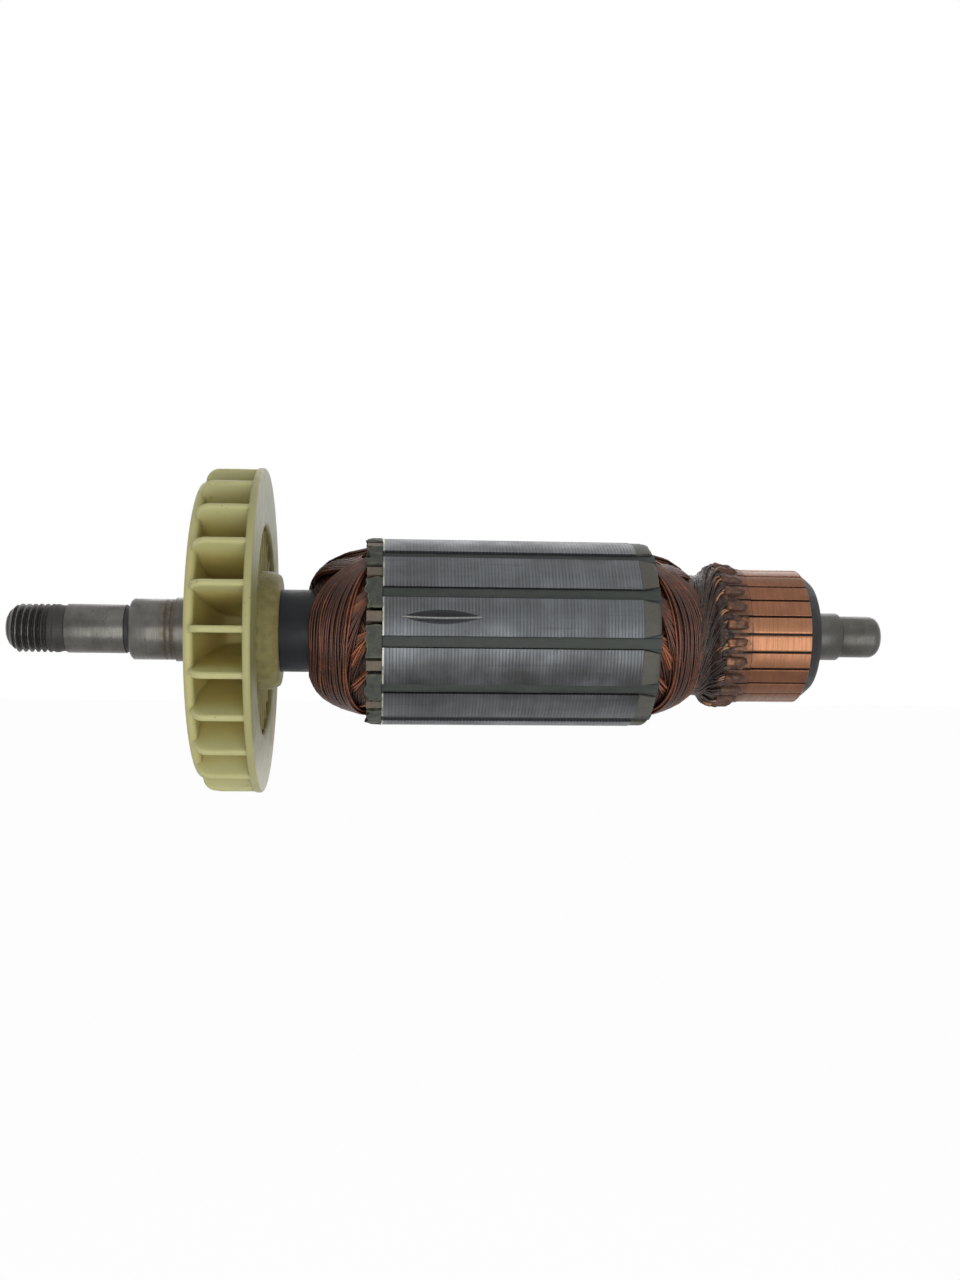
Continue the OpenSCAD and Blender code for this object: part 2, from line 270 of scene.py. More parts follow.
def endFaces(rings, count):  # the two faces that close a stack of rings
    return [tuple(range(count))[::-1], tuple((rings - 1) * count + j for j in range(count))]


view = {"place": (33.6, -216.8, -1.2), "target": (49.9, 0, -1.2), "roll": 0.62, "lens": 36.56}


def setCamera():
    data = bpy.data.cameras.new("camera")
    data.sensor_fit = "VERTICAL"
    data.sensor_height = 36
    data.lens = view["lens"]
    data.clip_start = 0.01
    cam = addObject("camera", data)
    cam.location = Vector(view["place"]) * mm
    turn = (Vector(view["target"]) * mm - cam.location).to_track_quat("-Z", "Y").to_matrix()
    cam.rotation_euler = (turn @ Matrix.Rotation(math.radians(view["roll"]), 3, "Z")).to_euler()
    bpy.context.scene.camera = cam


setCamera()
print("camera set")

studio = {
    "floor": -300,  # height of the floor, mm
    "floorHalf": 6000,
    "floorWhite": 0.97,
    "ambient": 0.36,
    "lamps": {  # place, width, height (mm) and power (W)
        "window": ((60, -290, -92), 430, 250, 0.68),  # soft, in front and a little below
        "sky": ((20, -300, 800), 1500, 1000, 1.2),  # broad and weak, from above
        "back": ((120, 420, 260), 500, 300, 0.5),
    },
    "aim": (50, 0, 0),
}


def addLamp(name, place, width, height, power):
    data = bpy.data.lights.new(name, "AREA")
    data.shape = "RECTANGLE"
    data.size = width * mm
    data.size_y = height * mm
    data.energy = power
    lamp = addObject(name, data)
    lamp.location = Vector(place) * mm
    lamp.rotation_euler = (Vector(studio["aim"]) * mm - lamp.location).to_track_quat("-Z", "Y").to_euler()


def seenDirectly(tree):  # 1 for rays from the camera, from a reflection and through glass
    path = tree.nodes.new("ShaderNodeLightPath")
    seen = path.outputs["Is Camera Ray"]
    for name in ("Is Glossy Ray", "Is Transmission Ray"):
        both = tree.nodes.new("ShaderNodeMath")
        both.operation = "MAXIMUM"
        tree.links.new(seen, both.inputs[0])
        tree.links.new(path.outputs[name], both.inputs[1])
        seen = both.outputs[0]
    return seen


def lightStudio():
    world = bpy.data.worlds.new("studio")
    bpy.context.scene.world = world
    world.use_nodes = True
    tree = world.node_tree
    soft = tree.nodes["Background"]
    soft.inputs[0].default_value = (1, 1, 1, 1)
    soft.inputs[1].default_value = studio["ambient"]
    white = tree.nodes.new("ShaderNodeBackground")
    white.inputs[0].default_value = (1, 1, 1, 1)
    white.inputs[1].default_value = 1
    mix = tree.nodes.new("ShaderNodeMixShader")
    tree.links.new(seenDirectly(tree), mix.inputs[0])
    tree.links.new(soft.outputs[0], mix.inputs[1])
    tree.links.new(white.outputs[0], mix.inputs[2])
    tree.links.new(mix.outputs[0], tree.nodes["World Output"].inputs[0])
    for name, lamp in studio["lamps"].items():
        addLamp(name, *lamp)


def layFloor():
    half = studio["floorHalf"]
    corners = ((-half, -half), (half, -half), (half, half), (-half, half))
    mesh = makeMesh("floor", [(x, y, studio["floor"]) for x, y in corners], [(0, 1, 2, 3)])
    obj = addObject("floor", mesh)
    sheet = Finish("floorPaper", rough=0.9)
    sheet.paint(colour=sheet.ramp(sheet.cloud(60), (0, 0.86), (1, 0.9)))
    glow = sheet.add("ShaderNodeEmission")
    mix = sheet.add("ShaderNodeMixShader")
    sheet.link(sheet.both(seenDirectly(sheet.tree), studio["floorWhite"]), mix.inputs[0])
    sheet.link(sheet.skin.outputs[0], mix.inputs[1])
    sheet.link(glow.outputs[0], mix.inputs[2])
    sheet.link(mix.outputs[0], sheet.tree.nodes["Material Output"].inputs[0])
    mesh.materials.append(sheet.mat)


lightStudio()
layFloor()
print("studio ready")

shaft = {
    "pitch": 1.0,  # of the thread
    "threadDepth": 0.62,
    "threadEnd": -19.4,
    "step": -7.2,  # between the two front seats
    "collar": 5.6,  # bare length behind the commutator
    "sides": 128,
    "steel": tint(103, 101, 97),
    "shade": tint(76, 74, 70),
    "grimeAndShade": tint(30, 26, 25),
    "rust": tint(78, 66, 48),
    "threadRadius": 3.95,
    "pinionRadius": 4,
    "bearingRadius": 5,
    "tailRadius": 3.5,
    "tailRound": 1.7,
}


def steelFinish():
    f = Finish("groundSteel")
    rings = f.cloud(1, 4, f.stretched(9, 0.05, 0.05), 0.7)
    patches = f.ramp(f.cloud(3.5, 4), (0.35, 0.0), (0.72, 1.0))
    base = f.blend(patches, shaft["steel"], shaft["shade"])
    base = f.blend(f.ramp(rings, (0.42, 0.0), (0.62, 0.4)), base, shaft["shade"])
    rust = f.ramp(f.cloud(0.9, 4), (0.35, 0.2), (0.7, 0.9))
    collar = f.between(f.along, -2.6 * mm, -1.6 * mm, 0.1 * mm, 0.7 * mm)
    base = f.blend(f.both(rust, collar), base, shaft["rust"])
    # grime and painted shade: darker in the thread's valleys, at the undercuts and steps and along the rear
    # collar, with random dark specks
    grimeAndShade = f.painted("grimeAndShade")
    speck = f.ramp(f.cloud(0.5, 2), (0.66, 0.0), (0.74, 0.55))
    base = f.blend(f.calc("MAXIMUM", grimeAndShade, speck), base, shaft["grimeAndShade"])
    worn = f.calc("ADD", rings, f.both(grimeAndShade, 0.6))
    f.paint(colour=base, rough=f.ramp(worn, (0.3, 0.2), (1, 0.55)), metal=f.ramp(grimeAndShade, (0, 1.0), (1, 0.15)))
    f.relief(rings, 0.02, strength=0.5)
    return f


def turnedProfile():  # station, radius and grime and shade of the plain part of the shaft
    step = shaft["step"]
    thread = shaft["threadEnd"]
    pinion = shaft["pinionRadius"]
    bearing = shaft["bearingRadius"]
    rear = shaft["tailRadius"]
    collarEnd = hubEnd + shaft["collar"]
    tail = span("shaft")[1][0]
    profile = [  # run-out of the thread, pinion seat and the undercut before the step
        (thread + 1.78, 3.75, 1), (thread + 1.8, 3.75, 0.95), (thread + 1.95, 3.97, 0.2),
        (thread + 2.05, pinion, 0), (step - 5, pinion, 0), (step - 0.92, pinion, 0), (step - 0.85, 3.96, 0.5),
        (step - 0.8, 3.8, 1), (step - 0.05, 3.8, 1), (step, 3.86, 1)]
    profile += [  # front bearing seat
        (step, 4.6, 0.5), (step + 0.05, 4.68, 0.1), (step + 0.3, 4.94, 0), (step + 0.4, bearing, 0),
        (-3, bearing, 0), (-1.7, bearing, 0.05)]
    for groove in (-1.4, -0.5):  # grinding reliefs
        profile += [(groove - 0.15, bearing, 0.1), (groove, 4.97, 0.4), (groove + 0.1, 4.95, 0.5),
                    (groove + 0.2, 4.97, 0.4), (groove + 0.4, bearing, 0.15)]
    profile += [  # shoulder and the stretch under the fan, the core and the commutator
        (0, 5.02, 0.3), (0, 5.2, 0.3), (0.04, seatRadius, 0.1), (20, seatRadius, 0), (60, seatRadius, 0),
        (hubEnd - 0.6, seatRadius, 0.4), (hubEnd - 0.55, 5.2, 0.5), (hubEnd - 0.5, pinion, 0.9)]
    profile += [  # rear collar and rear bearing seat; the rear collar is painted darker, as painted shade
        (hubEnd + 0.25, pinion, 0.8), (hubEnd + 0.8, pinion, 0.45), (hubEnd + 2, pinion, 0.25),
        (collarEnd - 0.25, pinion, 0.2), (collarEnd - 0.04, 3.85, 0.4), (collarEnd, 3.75, 0.6),
        (collarEnd + 0.02, rear, 0.6), (collarEnd + 0.4, rear, 0.25)]
    size = shaft["tailRound"]
    profile += [(x, r, 0.05) for x, r in arc(tail - size, rear - size, size, 0, 90, 8)]
    profile.append((tail, 0.02, 0.1))
    return profile


def threadRing(x, nose):  # radii and grime and shade round the thread at a station
    sides = shaft["sides"]
    end = shaft["threadEnd"]
    ring = []
    for j in range(sides):
        phase = (x / shaft["pitch"] - j / sides) % 1.0
        wave = abs(phase - 0.5) * 2  # 0 in the valley, 1 on the crest
        lift = min(max((wave - 0.1) / 0.76, 0), 1)
        fade = min(max((end + 0.3 - x) / 2.2, 0), 1)
        r = shaft["threadRadius"] - shaft["threadDepth"] * (1 - lift) * fade
        r = min(r, 2.45 + (x - nose) * 0.9)  # chamfered nose
        r -= 0.2 * smooth(end + 0.4, end + 1.2, x)
        # the valleys and the thread's end are painted darker: partly grime, partly painted shade
        grimeAndShade = min(1, (1 - lift) * 1.5 * fade + 1.1 * smooth(end - 4.2, end - 1.2, x)) * 0.87
        ring.append((x, r, 360 * j / sides, grimeAndShade))
    return ring


def makeShaft():
    nose = span("shaft")[0][0]
    sides = shaft["sides"]
    rings = []
    for x, r in ((nose, 1.9), (nose + 0.02, 2.15), (nose + 0.25, 2.5)):
        rings.append([(x, r, 360 * j / sides, 0.15) for j in range(sides)])
    start = nose + 0.4
    end = shaft["threadEnd"] + 1.75
    steps = int((end - start) / 0.055)
    rings += [threadRing(start + (end - start) * i / steps, nose) for i in range(steps + 1)]
    for x, r, grimeAndShade in turnedProfile():
        rings.append([(x, r, 360 * j / sides, grimeAndShade) for j in range(sides)])
    points = [(nose, 0, 0)] + [around(x, r, a) for ring in rings for x, r, a, _ in ring]
    grimeAndShade = [0.15] + [s for ring in rings for _, _, _, s in ring]
    faces = [tuple(i + 1 for i in f) for f in ringFaces(len(rings), sides)]
    faces += [(0, 1 + (j + 1) % sides, 1 + j) for j in range(sides)]
    makePiece("shaftSteel", points, faces, steelFinish(), "ground_steel", ["shaft"],
              {"grimeAndShade": grimeAndShade}, crease=38)


makeShaft()
print("shaft turned and threaded")

fan = {
    "rimStart": 4.4,  # back of the plate's rim, mm
    "ringBack": 13.3,  # back of the shroud ring
    "nose": 2.2,  # rounding of a blade's back corner
    "blade": 1.05,  # thickness of a blade
    "blades": 24,
    "rimInset": 2.3,  # from the blade tips in to the edge of the plate
    "inletRadius": 17.3,
    "ringThickness": 1.2,
    "tip": tint(184, 182, 130),
    "pocketShade": tint(182, 170, 104),
    "heartShade": tint(180, 165, 96),
    "shroud": tint(164, 161, 110),
    "inlet": tint(140, 134, 88),
    "face": tint(178, 176, 152),
    "undersideLight": tint(226, 224, 202),
    "oliveShade": tint(136, 131, 88),
    "stain": tint(106, 90, 56),
    "speck": tint(98, 84, 56),
}


def nylonFinish():
    f = Finish("fanNylon", rough=0.45)
    back = fan["ringBack"]
    uneven = f.calc("MULTIPLY_ADD", f.calc("SUBTRACT", f.cloud(6, 4), 0.5), 2 * mm, f.radius())
    # painted shade: nearer the hub, deep between the blades, the nylon is painted darker ochre; the blade
    # tips are painted paler
    base = f.ramp(f.band(uneven, 8.6 * mm, 26.6 * mm), (0.4, fan["heartShade"]), (0.74, fan["pocketShade"]),
                  (0.93, fan["tip"]))
    base = f.blend(f.band(f.along, (back - 0.3) * mm, (back + 0.1) * mm), base, fan["shroud"])
    # painted light: the lower part of the ring's face is painted paler
    side = f.blend(f.band(f.up, -16 * mm, -20 * mm), fan["face"], fan["undersideLight"])
    height = f.calc("ABSOLUTE", f.calc("MULTIPLY_ADD", f.cloud(5, 3), 6 * mm, f.up))
    oliveShade = f.band(height, 21 * mm, 12 * mm)  # painted shade: the middle of the ring's face is darker
    side = f.blend(oliveShade, side, fan["oliveShade"])
    flat = f.band(f.along, (back + 1.1) * mm, (back + 1.2) * mm)
    base = f.blend(f.both(flat, 0.9), base, side)
    # painted shade: deep inside the inlet the nylon is painted darker
    deep = f.both(f.band(f.along, 10.5 * mm, 13.5 * mm), f.band(uneven, 18.2 * mm, 17.2 * mm))
    base = f.blend(deep, base, fan["inlet"])
    near = f.calc("MULTIPLY_ADD", deep, 0.35, f.both(flat, 0.15))
    dust = f.both(f.ramp(f.cloud(1.6, 5), (0.42, 0.0), (0.68, 1.0)), near)
    base = f.blend(dust, base, fan["stain"])
    speck = f.ramp(f.cloud(0.6, 2), (0.7, 0.0), (0.76, 0.6))
    base = f.blend(speck, base, fan["speck"])
    f.paint(colour=base, rough=f.mottle(f.cloud(3, 3), 0.38, 0.55))
    f.gloss(Subsurface_Weight=0.4, Subsurface_Scale=0.002, IOR=1.5, Subsurface_Radius=(1.0, 0.8, 0.3))
    # less shine where shade is painted, on the face and in the inlet
    dull = f.calc("MAXIMUM", f.both(flat, oliveShade), deep)
    f.feed(f.skin.inputs["Specular IOR Level"], f.calc("MULTIPLY_ADD", dull, -0.4, 0.5))
    f.relief(f.cloud(0.5, 3), 0.03, edge=0.7, strength=0.5)
    return f


def turnedRing(section, sides):  # a closed section carried round the shaft
    points = [around(x, r, 360 * j / sides) for x, r in section for j in range(sides)]
    return points, ringFaces(len(section), sides, closed=True)


def gather(shells):  # (points, faces) of several shells as one
    points = []
    faces = []
    for more, moreFaces in shells:
        faces += [tuple(len(points) + v for v in face) for face in moreFaces]
        points += more
    return points, faces


def fanBlade(angle, tip):  # its outline six times, from one side to the other, smaller at both sides
    back = fan["rimStart"] + 0.9
    front = fan["ringBack"] + 0.6
    nose = fan["nose"]
    across = ((-0.5, 0.4), (-0.43, 0.16), (-0.25, 0.03), (0.25, 0.03), (0.43, 0.16), (0.5, 0.4))
    points = []
    for side, inset in across:
        outline = [(8.4, 9.6), (7.2, 16.5), (5.7, 20.5), (back + 0.2, 23.4)]
        outline += arc(back + nose, tip - nose, nose - inset, -90, 0, 8)
        outline += [(front - inset, tip - inset), (front - inset, 9.6)]
        points += [around(x, r, angle, side * fan["blade"]) for x, r in outline]
    per = len(points) // len(across)
    return points, ringFaces(len(across), per) + endFaces(len(across), per)


def hubSection(low, high, tip):  # dished plate and boss, as (station, radius)
    rim = fan["rimStart"]
    edge = tip - fan["rimInset"]
    section = [(low, seatRadius), (low, 8.5), (low + 0.15, 8.8), (low + 0.6, 9.2), (6.8, 9.6), (7.2, 10.6),
               (7.0, 12.8), (rim, 21)]
    section += arc(rim + 0.8, edge - 0.8, 0.8, -90, 0, 5)
    section += arc(rim + 0.8, edge - 0.7, 0.7, 0, 80, 5)
    section += [(rim + 1.5, 21.6), (rim + 1.8, 20), (7.3, 16), (8.3, 12.6), (8.9, 11.2), (9.8, 10.4),
                (11.4, 10.05)]
    section += [(high - 1.4, 9.7), (high - 0.5, 9.3), (high - 0.15, 9.1), (high, 8.8), (high, seatRadius)]
    return section


def shroudSection(tip):  # the ring in front of the blades
    face = fan["ringBack"] + fan["ringThickness"]
    hole = fan["inletRadius"]
    section = arc(face - 0.35, hole + 0.35, 0.35, 90, 180, 4)
    section += arc(face - 0.85, hole + 0.35, 0.35, 180, 270, 4)
    section += arc(face - 0.9, tip - 0.3, 0.3, -90, 0, 4)
    section += arc(face - 0.4, tip - 0.4, 0.4, 0, 90, 5)
    return section


def makeFan():
    low, high = span("fan")
    tip = high[2]
    sides = 144
    turned = [turnedRing(hubSection(low[0], high[0], tip), sides), turnedRing(shroudSection(tip), sides)]
    blades = fan["blades"]
    moulding = makePiece("fanMoulding", *gather(turned), nylonFinish(), "fan_nylon", ["fan"])
    fuse(moulding, *gather([fanBlade(360 * i / blades, tip) for i in range(blades)]), crease=40)


makeFan()
print("fan moulded")

tube = {
    "light": tint(29, 31, 37),
    "dark": tint(15, 17, 21),
}


def dressTube():
    f = Finish("blackTube", rough=0.42, shine=0.25)
    cloudy = f.cloud(2.5, 4)
    f.paint(colour=f.ramp(cloudy, (0.3, tube["dark"]), (0.75, tube["light"])),
            rough=f.mottle(cloudy, 0.38, 0.58))
    f.relief(f.cloud(1, 3, f.stretched(3, 0.4, 0.4)), 0.03, edge=0.2, strength=0.5)
    dress("insulation_tube", f)


core = {
    "sheet": 0.535,  # thickness of a lamination, mm
    "light": tint(103, 106, 109),
    "middle": tint(86, 88, 90),
    "dark": tint(66, 68, 70),
    "seam": tint(48, 50, 52),
    # painted highlight along the edge of the first sheet
    "edge": tint(186, 184, 172),
    "bandShade": tint(50, 48, 47),
    "groove": 9,  # angle of the tooth with the balancing groove
    "grooveHalf": 1.8,  # half the height of the tool's mark in it
    "grooveShade": tint(62, 63, 66),
    "grooveLit": tint(92, 93, 95),
    "grooveHighlight": tint(176, 176, 174),
}


def sheets(f):  # seams between laminations, and a value for each sheet
    place = f.both(f.along, 1 / (core["sheet"] * mm))
    wobble = f.calc("MULTIPLY_ADD", f.cloud(3, 2), 0.25, place)
    seam = f.ramp(f.calc("PINGPONG", wobble, 0.5), (0.0, 1.0), (0.2, 0.3), (0.42, 0.0))
    each = f.add("ShaderNodeTexWhiteNoise")
    each.noise_dimensions = "1D"
    f.link(f.calc("FLOOR", wobble), each.inputs["W"])
    return seam, each.outputs["Value"]


def addBandShade(f, base, cloudy):  # painted shade: a darker band along one tooth, below the axis on the -Y side
    bandShadeMask = f.between(f.up, -12.5 * mm, -9 * mm, -6.5 * mm, -3 * mm)
    bandShadeMask = f.both(f.both(bandShadeMask, f.band(f.deep, 0, -1 * mm)), f.band(cloudy, 0.2, 0.75))
    return f.blend(f.both(bandShadeMask, 0.95), base, core["bandShade"])


def addGroove(f, base):  # smooth bottom of the balancing groove, with painted shade over its upper half and a painted highlight along its middle
    turn = math.radians(core["groove"])
    aside = f.calc("ADD", f.both(f.deep, math.sin(turn)), f.both(f.up, math.cos(turn)))
    half = core["grooveHalf"]
    cut = f.band(f.radius(), (coreRadius - 0.03) * mm, (coreRadius - 0.09) * mm)
    cut = f.both(cut, f.both(f.band(f.calc("ABSOLUTE", aside), half * mm, (half - 0.2) * mm),
                             f.band(f.deep, -13 * mm, -13.5 * mm)))
    bottom = f.blend(f.band(aside, -0.1 * mm, 0.3 * mm), core["grooveLit"], core["grooveShade"])
    base = f.blend(cut, base, bottom)
    away = f.calc("ABSOLUTE", f.calc("ADD", aside, 0.1 * mm))
    # painted highlight: a bright line along the groove
    ridge = f.both(f.band(away, 0.22 * mm, 0.08 * mm), cut)
    return f.blend(f.both(ridge, 0.85), base, core["grooveHighlight"])


def dressCore():
    f = Finish("laminatedSteel", metal=0.8)
    seam, each = sheets(f)
    cloudy = f.cloud(6, 4)
    base = f.blend(f.mottle(cloudy, 0.0, 1.0), core["light"], core["middle"])
    base = f.blend(f.both(each, 0.3), base, core["dark"])
    clear = f.ramp(f.cloud(1, 3, f.stretched(0.08, 0.5, 0.5)), (0.3, 0.2), (0.7, 0.75))
    base = f.blend(f.both(seam, clear), base, core["seam"])  # seams are smeared here and there
    streak = f.ramp(f.cloud(1, 4, f.stretched(0.05, 1.6, 1.6)), (0.58, 0.0), (0.74, 0.6))
    base = f.blend(streak, base, core["dark"])
    base = addBandShade(f, base, cloudy)
    base = addGroove(f, base)
    # painted highlight: the edge of the first sheet is painted pale where it catches the light
    first = f.both(f.band(f.along, (coreStart + 0.3) * mm, (coreStart + 0.2) * mm),
                   f.ramp(f.cloud(1.5, 3), (0.35, 0.2), (0.6, 0.9)))
    base = f.blend(first, base, core["edge"])
    f.paint(colour=base, rough=f.mottle(cloudy, 0.36, 0.52))
    f.relief(f.calc("SUBTRACT", f.both(each, 0.6), seam), 0.05, edge=0.12, strength=0.8)
    dress("core_stack", f)


plate = {
    "front_end_plate": ("frontFibre", tint(112, 100, 85), tint(84, 75, 62)),
    "rear_end_plate": ("rearFibre", tint(82, 79, 72), tint(64, 62, 55)),
    "fleck": tint(52, 48, 38),
}


def dressPlates():
    for node in ("front_end_plate", "rear_end_plate"):
        name, light, dark = plate[node]
        f = Finish(name)
        cloudy = f.cloud(2.2, 5)
        base = f.mottle(cloudy, dark, light)
        base = f.blend(f.ramp(f.cloud(0.35, 3), (0.5, 0.0), (0.75, 0.5)), base, plate["fleck"])
        f.paint(colour=base, rough=f.mottle(cloudy, 0.5, 0.7))
        f.relief(f.cloud(0.4, 4), 0.05, edge=0.3, strength=0.6)
        dress(node, f)


paper = {
    "light": tint(66, 68, 64),
    "dark": tint(46, 48, 46),
    "stain": tint(50, 50, 42),
    "edge": tint(128, 132, 112),
    "sheet": 0.26,  # thickness, mm
    "firstSlot": -6,  # angle of slot 1
    "rootRadius": 9.6,
    "rootHalf": 0.93,
    "spread": 0.2987,  # how fast half the slot's width grows with the radius
    "topRadius": 13.4,  # of a lining inside the core
    "cuffRadius": 15.2,
    "cuffHalf": 2.62,
    "cuffBow": 0.2,
    "wedgeLight": tint(68, 72, 69),
    "wedgeDark": tint(50, 55, 52),
    "wedgeStain": tint(54, 58, 50),
}


def paperFinish():
    f = Finish("slotPaper", shine=0.25)
    cloudy = f.cloud(1, 4, f.stretched(0.25, 0.9, 0.9))
    base = f.mottle(cloudy, paper["dark"], paper["light"])
    base = f.blend(f.ramp(f.cloud(1.3, 4), (0.5, 0.0), (0.78, 0.7)), base, paper["stain"])
    worn = f.both(f.painted("edge"), f.ramp(f.cloud(0.9, 3), (0.35, 0.3), (0.6, 1.0)))
    base = f.blend(worn, base, paper["edge"])
    f.paint(colour=base, rough=f.mottle(cloudy, 0.5, 0.75))
    creased = f.calc("MULTIPLY_ADD", f.cloud(1.8, 2), 4.0, f.cloud(1, 3, f.stretched(0.8, 3, 3)))
    f.relief(creased, 0.07, strength=0.7)
    return f


def paperLoop(half1, r1, inset, bow):  # (sideways, radius) points round a lining that ends at r1
    half0 = paper["rootHalf"]
    r0 = paper["rootRadius"]
    loop = []
    for i in range(9):  # round root
        a = math.radians(180 + 180 * i / 8)
        loop.append((math.cos(a) * (half0 - inset), r0 + math.sin(a) * (half0 - inset)))
    for i in range(1, 7):
        s = i / 7
        loop.append((half0 - inset + (half1 - half0) * s, r0 + (r1 - r0) * s))
    for i in range(13):  # over the top
        u = 1 - 2 * i / 12
        loop.append((u * (half1 - inset), r1 - inset + bow * (1 - u * u) - 0.12 * abs(u) ** 6))
    for i in range(6, 0, -1):
        s = i / 7
        loop.append((-(half0 - inset + (half1 - half0) * s), r0 + (r1 - r0) * s))
    return loop


def slotHalf(r):  # half the width of a slot at a radius
    return paper["rootHalf"] + (r - paper["rootRadius"]) * paper["spread"]


def cuffShape(i, x, mouth, pinch, side, r):  # dent and ragged edge of a cuff at a point
    dent = noise.noise(Vector((x * 0.9, side * 0.8 + 7 * i, r * 0.4))) * 0.4
    dent -= mouth * pinch * (1 if r > 14 else 0.3)
    jag = noise.noise(Vector((side * 0.9, i * 3.3, r * 0.7))) * 0.9 * mouth
    return dent, max(jag, -0.4)


def rubbed(x, j):  # how pale a point of a cuff is: its rim, its upper corners and the rest
    if x < frontFace + 0.1:
        return 0.8
    return 0.4 if j in (14, 15, 27, 28) else 0.15


def paperShell(i):  # points, rubbed edges and number of rings of one lining, outside and inside
    rng = random.Random(80 + i)
    p = paper
    angle = p["firstSlot"] + slotPitch * i
    cuff = [frontFace - rng.uniform(-0.15, 0.05), frontFace + 0.3, frontFace + 0.8, frontFace + 1.4,
            frontFace + 1.9, coreStart - 0.25, coreStart - 0.06]
    stations = [(x, True) for x in cuff] + [(coreStart - 0.05, False), (rearFace, False)]
    lean = rng.uniform(-0.12, 0.12)
    pinch = rng.uniform(0.0, 0.3)
    points = []
    edge = []
    for inset, order in ((0.0, stations), (p["sheet"], stations[::-1])):
        for x, spread in order:
            mouth = 1 - smooth(frontFace, frontFace + 1.2, x)
            if spread:
                loop = paperLoop(p["cuffHalf"] - 0.1 * mouth, p["cuffRadius"], inset, p["cuffBow"])
            else:
                loop = paperLoop(slotHalf(p["topRadius"]), p["topRadius"], inset, 0)
            for j, (side, r) in enumerate(loop):
                dent, jag = cuffShape(i, x, mouth, pinch, side, r) if spread else (0, 0)
                out = smooth(p["rootRadius"], p["cuffRadius"], r)
                step = side + lean * mouth + dent * 0.4 * out
                points.append(around(x + jag, r + dent * out, angle, step))
                edge.append(rubbed(x, j) if spread else 0)
    return points, edge, 2 * len(stations)


def linePaper():
    finish = paperFinish()
    for i in range(slotCount):
        points, edge, rings = paperShell(i)
        faces = ringFaces(rings, len(points) // rings, closed=True)
        makePiece("slotPaper%d" % (i + 1), points, faces, finish, "slot_paper", ["slot_liner_%d" % (i + 1)],
                  {"edge": edge}, crease=50)


def dressWedges():
    f = Finish("wedgeStrip", shine=0.25)
    cloudy = f.cloud(1, 4, f.stretched(0.25, 0.9, 0.9))
    base = f.mottle(cloudy, paper["wedgeDark"], paper["wedgeLight"])
    base = f.blend(f.ramp(f.cloud(1.3, 4), (0.55, 0.0), (0.8, 0.6)), base, paper["wedgeStain"])
    f.paint(colour=base, rough=f.mottle(cloudy, 0.5, 0.7))
    f.relief(f.cloud(1, 3, f.stretched(0.8, 3, 3)), 0.05, edge=0.15, strength=0.5)
    dress("slot_wedges", f)


dressTube()
dressCore()
dressPlates()
linePaper()
dressWedges()
print("core, plates, slot paper and wedges dressed")

coil = {
    "wire": 0.4,  # diameter over the enamel
    "columns": 18,
    "rows": 2,
    "layer": 0.85,  # thickness of a layer of coils
    "sides": 6,
    "steps": 24,
    "wander": 0.9,  # how far a strand strays, in strands
    "innerRing": 7.2,  # radius of the innermost turns
    "firstMiddle": -171,  # angle of the middle of coil 1
    "halfTurn": 75,  # from the middle of a coil to its slots
    "exits": 9,  # wires seen where they leave a slot
    "light": tint(148, 86, 56),
    "brown": tint(78, 44, 31),
    "dark": tint(38, 25, 22),
    "varnish": tint(46, 33, 29),
    "fillLight": tint(86, 54, 41),
    "fillBrown": tint(50, 34, 29),
    "fillDark": tint(18, 14, 14),
}
topCoil = span("coil_12")
heads = {  # centre of the round head, its direction and reach, and the radius of the top coil's inner turns
    "front": {"centre": coreStart - 0.5, "out": -1, "far": topCoil[0][0], "ring": 8.3, "swell": 0.55},
    "rear": {"centre": coreEnd + 1.0, "out": 1, "far": topCoil[1][0], "ring": 7.5, "swell": 0.2},
}
for head in heads.values():
    head["reach"] = math.hypot(head["far"] - head["centre"], tubeRadius + 0.7)


def wireFinish(name):
    f = Finish(name, metal=0.3)
    tone = f.painted("tone")
    uneven = f.calc("SUBTRACT", f.calc("ADD", f.cloud(5, 2), f.cloud(0.9, 3)), 1.0)
    mottled = f.calc("MULTIPLY_ADD", uneven, 0.5, tone)
    base = f.ramp(mottled, (0.05, coil["dark"]), (0.5, coil["brown"]),
                  (0.95, coil["light"]))
    pooled = f.ramp(f.cloud(4, 3), (0.5, 0.0), (0.72, 0.65))  # varnish that soaked in unevenly
    pooled = f.both(pooled, f.band(tone, 0.8, 0.6))
    base = f.blend(pooled, base, coil["varnish"])
    f.paint(colour=base, rough=f.mottle(f.cloud(1.2, 3), 0.28, 0.5))
    f.gloss(Coat_Weight=0.15, Coat_Roughness=0.25, Specular_IOR_Level=0.4)
    f.relief(f.cloud(0.25, 2), 0.02, strength=0.4)
    return f


